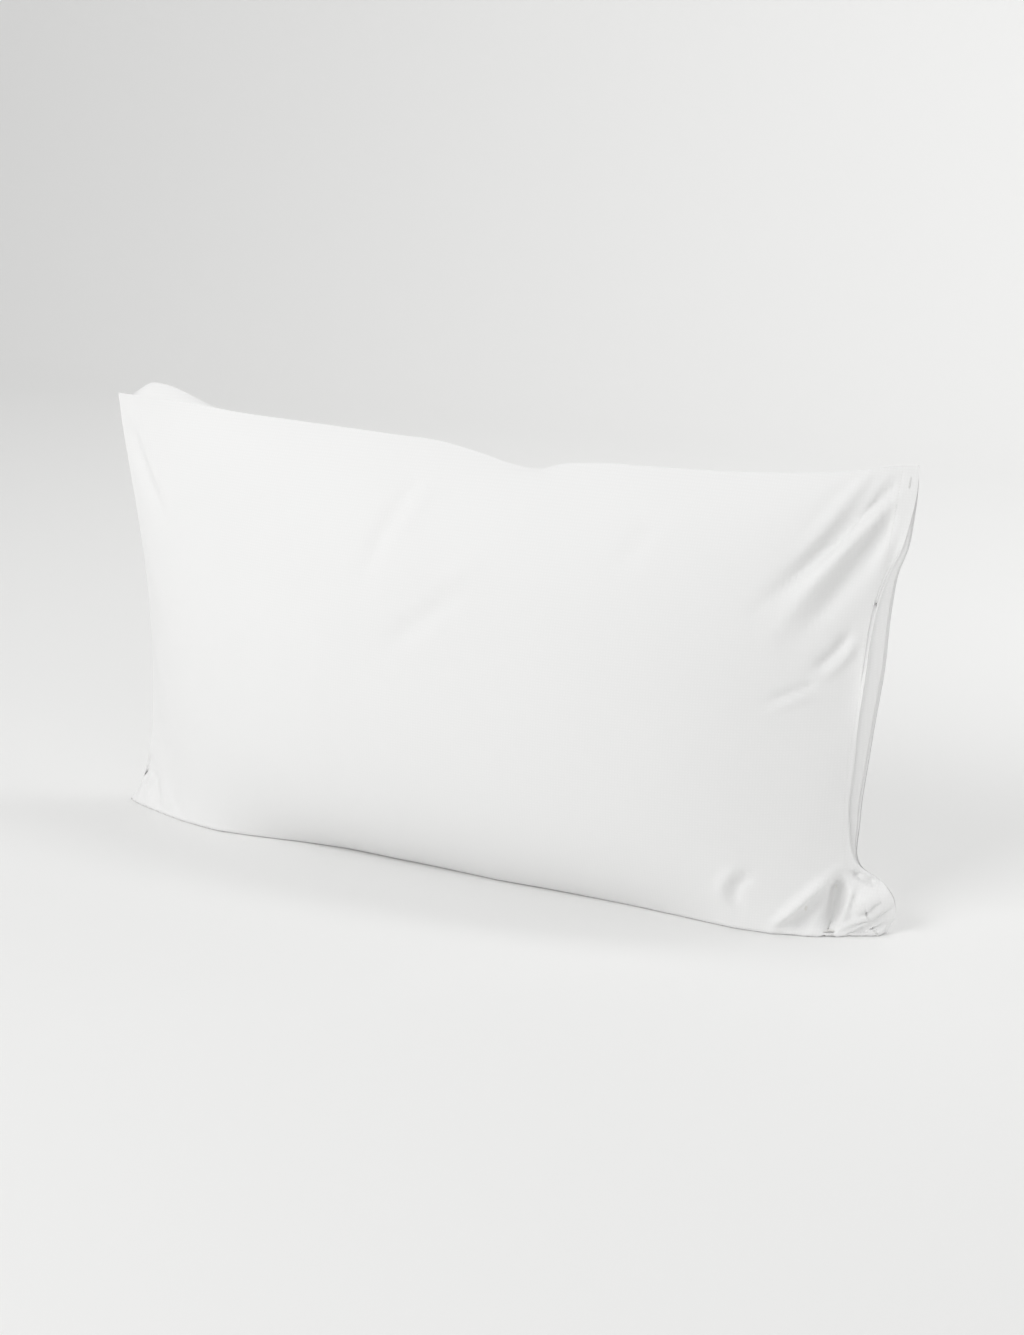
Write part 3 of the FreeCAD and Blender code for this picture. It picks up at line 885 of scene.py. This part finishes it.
def make_case_seams(case, paint):
    """Stitches just inside the three sewn sides."""
    inset_u, inset_v = SEAM_INSET / CASE_FLAT[0], SEAM_INSET / CASE_FLAT[1]
    middle = 0.5 * (case.front + case.back)
    steps = np.linspace(0.01, 0.985, 300)
    lines = {
        "top": (steps, np.full_like(steps, 1 - inset_v), "case_top_seam_thread"),
        "bottom": (steps, np.full_like(steps, inset_v), "case_bottom_seam_thread"),
        "end": (np.full_like(steps, inset_u), steps, "case_end_seam_thread"),
    }
    made = []
    for place, (u, v, replaced) in lines.items():
        line = on_case(case, middle, u, v)
        line[:, 2] = np.maximum(line[:, 2], 0.5 * MM)
        name = f"case_{place}_seam_stitches"
        made.append(sew(name, replaced, line, to_the_front(line), SEAM_STITCH, "case", paint))
    return made


def make_bar_tacks(case, paint):
    """Two short blocks of satin stitches, across the seam at each end of the mouth."""
    u, spread = 1 - 5.5 * MM / CASE_FLAT[0], 1.3 * MM / CASE_FLAT[0]
    outward = normals(case.front, -1)
    parts = []
    for share in (0.985, 0.012):
        for k in range(TACK_STITCHES):
            v = share - math.copysign(k * TACK_PITCH / CASE_FLAT[1], share - 0.5)
            ends = [on_case(case, case.front, w, v) for w in (u - spread, u, u + spread)]
            out = unit(on_case(case, outward, u, v))
            line = np.array(ends) + out * np.array([[-0.1], [0.32], [-0.1]]) * MM
            parts.append(tube(line, np.array([0.12, 0.2, 0.12]) * MM, STITCH_SIDES))
    verts, faces = join(parts)
    tacks = add_piece("bar_tacks", verts, faces, paint["thread"], "case")
    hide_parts("mouth_bar_tacks")
    return tacks


def make_label(name, replaced, body, paint):
    """A blank folded tape, softly curved, where the model's flat one lies."""
    low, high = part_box(replaced)
    size = high - low
    across = "x" if size.x > size.y else "y"
    rows, columns = 15, 19
    s, t = np.meshgrid(np.linspace(0, 1, rows), np.linspace(0, 1, columns), indexing="ij")
    span = size.x if across == "x" else size.y
    curl = 0.8 * MM * np.sin(math.pi * s) * (1 - 0.4 * t)
    z = low.z + size.z * t
    lean = (z - low.z) * LEAN
    sheets = []
    for layer in (0.0, 0.35 * MM):
        if across == "x":
            p = np.stack([low.x + span * s, low.y + lean + layer + curl, z], axis=-1)
        else:
            p = np.stack([low.x + layer - curl, low.y + span * s, z], axis=-1)
        sheets.append(p)
    parts = [(p, grid_faces(rows, columns, flip=k == 0)) for k, p in enumerate(sheets)]
    rim = [np.array([sheets[0][e], sheets[1][e]]) for e in
           (np.s_[:, 0], np.s_[-1, :], np.s_[::-1, -1], np.s_[0, ::-1])]
    parts += [(edge, grid_faces(2, edge.shape[1], flip=False)) for edge in rim]
    verts, faces = join(parts)
    label = add_piece(name, verts, faces, paint["label_tape"], body)
    close_up(label)
    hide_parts(replaced)
    return label


# ---------------------------------------------------------------- the insert's pieces

INSERT_U = (0.040, 0.960)  # the insert's stretch of the case's length
INSERT_V = (0.022, 0.972)
INSERT_FLAT = (0.86, 0.48)
INSERT_CELLS = (132, 74)
INSERT_GAP = 3.2 * MM
INSERT_RIM = 0.022  # the width of its rounded rim
PUCKER = 0.6 * MM
PIPING_RADIUS = 1.7 * MM
CORE_RADIUS = 0.6 * PIPING_RADIUS
CLOSING_HALF = 0.09  # half of the length that is sewn by hand
FILL_SHARE = 0.965  # the fill's depth as a share of the ticking's
LUMP = 0.8 * MM


def insert_panels(case):
    """The insert's two faces: the case's form, drawn in, with its own rounded rim."""
    columns, rows = (np.linspace(0, 1, count + 1) for count in INSERT_CELLS)
    s, t = np.meshgrid(columns, rows, indexing="ij")
    u = INSERT_U[0] + s * (INSERT_U[1] - INSERT_U[0])
    v = INSERT_V[0] + t * (INSERT_V[1] - INSERT_V[0])
    rim = np.minimum(
        np.minimum(s, 1 - s) * INSERT_FLAT[0], np.minimum(t, 1 - t) * INSERT_FLAT[1]
    )
    near = np.clip(rim / INSERT_RIM, 0, 1)
    full = np.sqrt(1 - (1 - near) ** 2)[..., None]
    both = {}
    for side, p in ((-1, case.front), (1, case.back)):
        inward = -unit(on_case(case, unit(normals(p, side)), u, v))
        both[side] = on_case(case, p, u, v) + inward * INSERT_GAP
    middle = 0.5 * (both[-1] + both[1])
    by_seam = bump(rim, 0.006, 0.008)
    pucker = PUCKER * np.sin(s * 260 + 2 * np.sin(t * 9)) * by_seam
    pucker += PUCKER * np.sin(t * 150 + 2 * np.sin(s * 12)) * by_seam
    faces = {}
    for side in both:
        p = middle + (both[side] - middle) * full
        p[..., 1] += side * pucker * full[..., 0]
        np.maximum(p[..., 2], 4.2 * MM, out=p[..., 2])
        faces[side] = p
    return faces


def rim_line(p):
    """Once round the edge of a grid."""
    return np.vstack([p[:, 0], p[-1, 1:], p[-2::-1, -1], p[0, -2:0:-1]])


def make_insert(case, paint):
    """Everything of the insert but its fill and label. Returns its two faces."""
    faces = insert_panels(case)
    for side, name in ((-1, "ticking_front"), (1, "ticking_back")):
        piece = panel(name, faces[side], side, paint["ticking"], "insert")
        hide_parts(f"{name}_panel")

    rim = rim_line(faces[-1])
    out = unit((rim - rim.mean(0)) * (1, 0, 1))
    cord_line = rim + out * PIPING_RADIUS * 0.8
    cord_line[:, 2] = np.maximum(cord_line[:, 2], PIPING_RADIUS + 1.2 * MM)
    verts, polygons = tube(cord_line, np.full(len(rim), PIPING_RADIUS), 10, closed=True)
    strip = add_piece("piping_casing", verts, polygons, paint["ticking"], "insert")
    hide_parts("piping_strip")
    verts, polygons = tube(cord_line, np.full(len(rim), CORE_RADIUS), 8, closed=True)
    core = paint["piping_core"]
    cord = add_piece("piping_filler", verts, polygons, core, "insert")
    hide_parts("piping_cord")

    closing = (np.abs(rim[:, 2] - 0.5 * HEIGHT) < CLOSING_HALF) & (rim[:, 0] < 0)
    line = rim - out * 1.2 * MM
    line[:, 1] -= 1.4 * MM
    start = int(np.argmax(~closing & np.roll(closing, 1)))
    order = np.roll(np.arange(len(rim)), -start)
    machine = line[order[~closing[order]]]
    by_hand = line[order[closing[order]]]
    sew("ticking_seam_stitches", "ticking_seam_thread", machine, to_the_front(machine),
        TICKING_STITCH, "insert", paint)
    by_hand[:, 0] += 0.5 * MM * np.sin(np.arange(len(by_hand)) * 2.0)
    sew("ticking_closing_stitches", "ticking_closing_thread", by_hand, to_the_front(by_hand),
        HAND_STITCH, "insert", paint)
    return faces


def make_fill(faces, paint):
    """Lumpy fibre just inside the ticking, closed all round."""
    middle = 0.5 * (faces[-1] + faces[1])
    middle[..., 2] += 1.5 * MM
    parts = []
    for side in (-1, 1):
        p = middle + (faces[side] - middle) * FILL_SHARE
        p = p[1:-1:2, 1:-1:2]
        lumps = np.sin(p[..., 0] * 61 + p[..., 2] * 23) * np.sin(p[..., 2] * 74 - p[..., 0] * 19)
        p[..., 1] -= side * LUMP * (1 + lumps)
        edge_middle = middle[1:-1:2, 1:-1:2]
        for edge in (np.s_[:, 0], np.s_[:, -1], np.s_[0, :], np.s_[-1, :]):
            p[edge] = edge_middle[edge]
        parts.append((p, grid_faces(*p.shape[:2], flip=side > 0)))
    verts, polygons = join(parts)
    fill = add_piece("down_fill", verts, polygons, paint["fill"], "insert")
    close_up(fill)
    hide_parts("fill")
    return fill


# ---------------------------------------------------------------- everything together


def collapse(pieces):
    """Gives each piece its own copy of its mesh data."""
    for piece in pieces:
        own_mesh(piece)


def main():
    make_camera()
    make_light()
    make_floor()
    paint = make_materials()
    case = simulate_case()
    remesh(case)
    calm(case)
    fold_front(case.front, case.u, case.v)
    fold_back(case)

    front = panel("case_front", case.front, -1, paint["cotton"], "case")
    back = panel("case_back", case.back, 1, paint["cotton"], "case")
    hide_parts("case_front_panel")
    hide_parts("case_back_panel")
    hem = make_mouth_hem(case, paint)
    flap = make_flap(case, paint)
    seams = make_case_seams(case, paint)
    tacks = make_bar_tacks(case, paint)
    case_label = make_label("case_label", "case_care_label", "case", paint)
    fill = make_fill(make_insert(case, paint), paint)
    make_label("insert_label", "insert_care_label", "insert", paint)

    collapse([front, back, *hem, *flap, tacks, case_label, *seams])


main()
